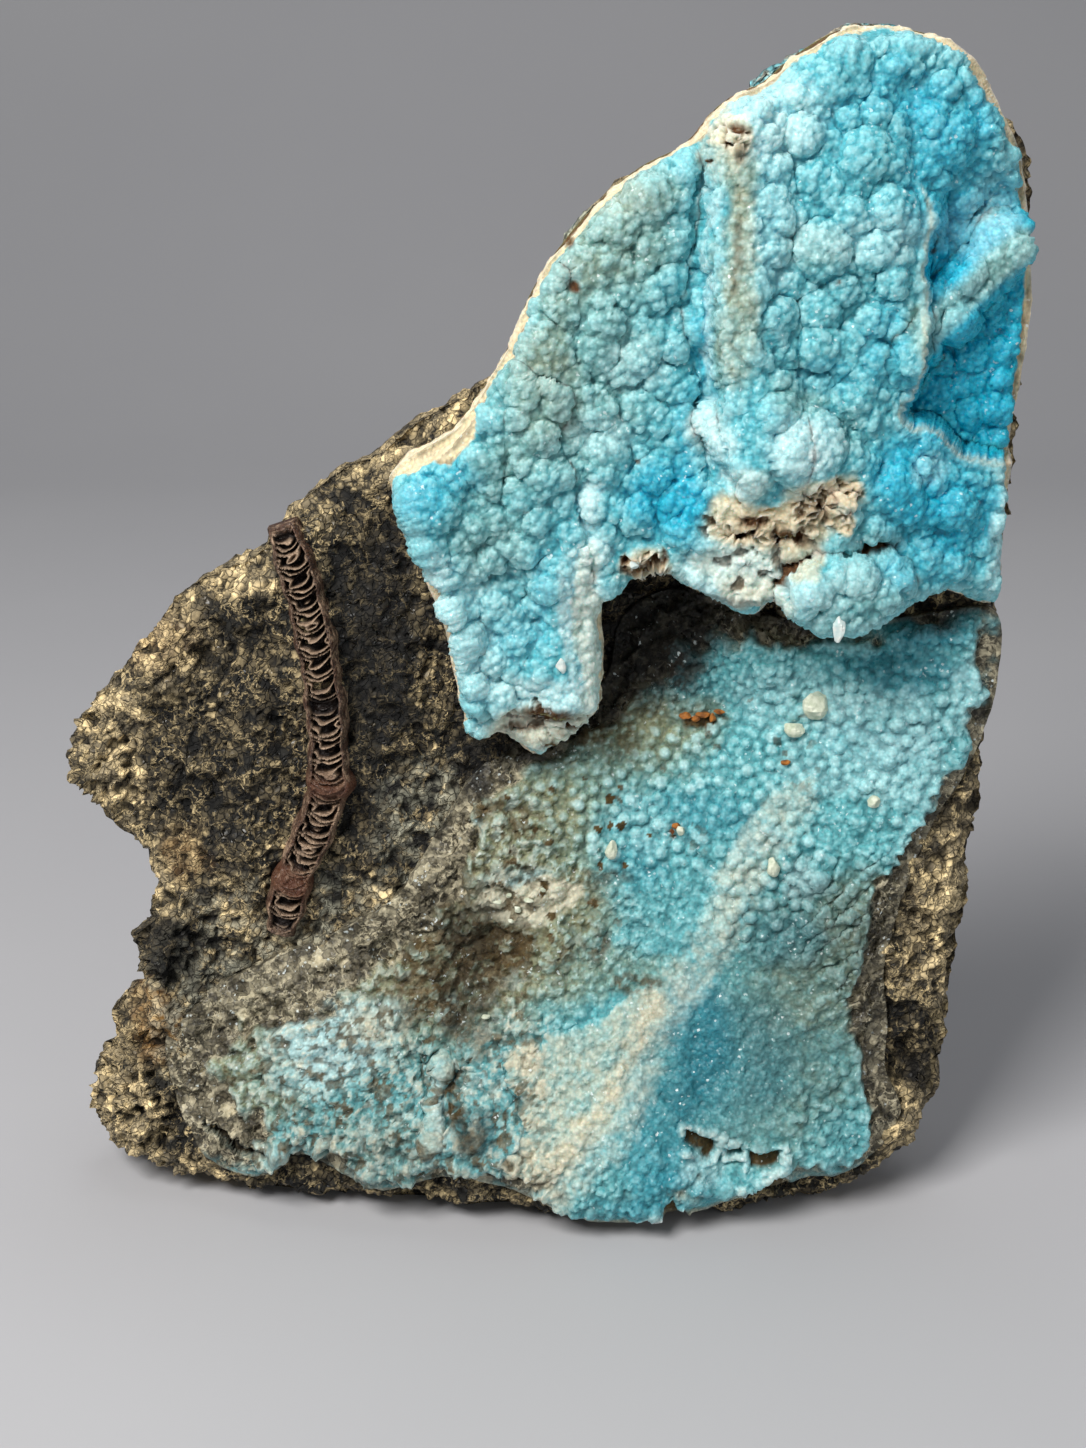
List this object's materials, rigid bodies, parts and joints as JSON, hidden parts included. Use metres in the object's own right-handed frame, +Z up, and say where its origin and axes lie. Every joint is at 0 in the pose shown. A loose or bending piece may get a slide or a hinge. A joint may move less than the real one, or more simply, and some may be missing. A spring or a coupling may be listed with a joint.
{
  "type": "hemimorphite specimen on matrix",
  "caption": "Standing hemimorphite specimen: blue botryoidal crust over a drusy slope on brown gossan, with a ribbed vein on the bare rock.",
  "frame": {"origin": "middle of the flat base that the specimen stands on", "axes": "+X to the right of the specimen's blue face, -Y out of that face, +Z up"},
  "size_m": [0.1669, 0.061, 0.2026],
  "materials": {
    "gossan": "dark brown-black porous gossan with tan grains, earthy and dull",
    "blue_crust": "sky-blue translucent botryoidal crust, sugary sparkle, cream broken rims",
    "drusy_crust": "teal-blue fine druse, grey-green and cream patches, brown stains",
    "brown_vein": "red-brown ribbed goethite, paler edges"
  },
  "bodies": {
    "root": {"matrix": "gossan", "upper_crust": "blue_crust", "lower_crust": "drusy_crust", "ribbed_vein": "brown_vein"}
  },
  "joints": []
}
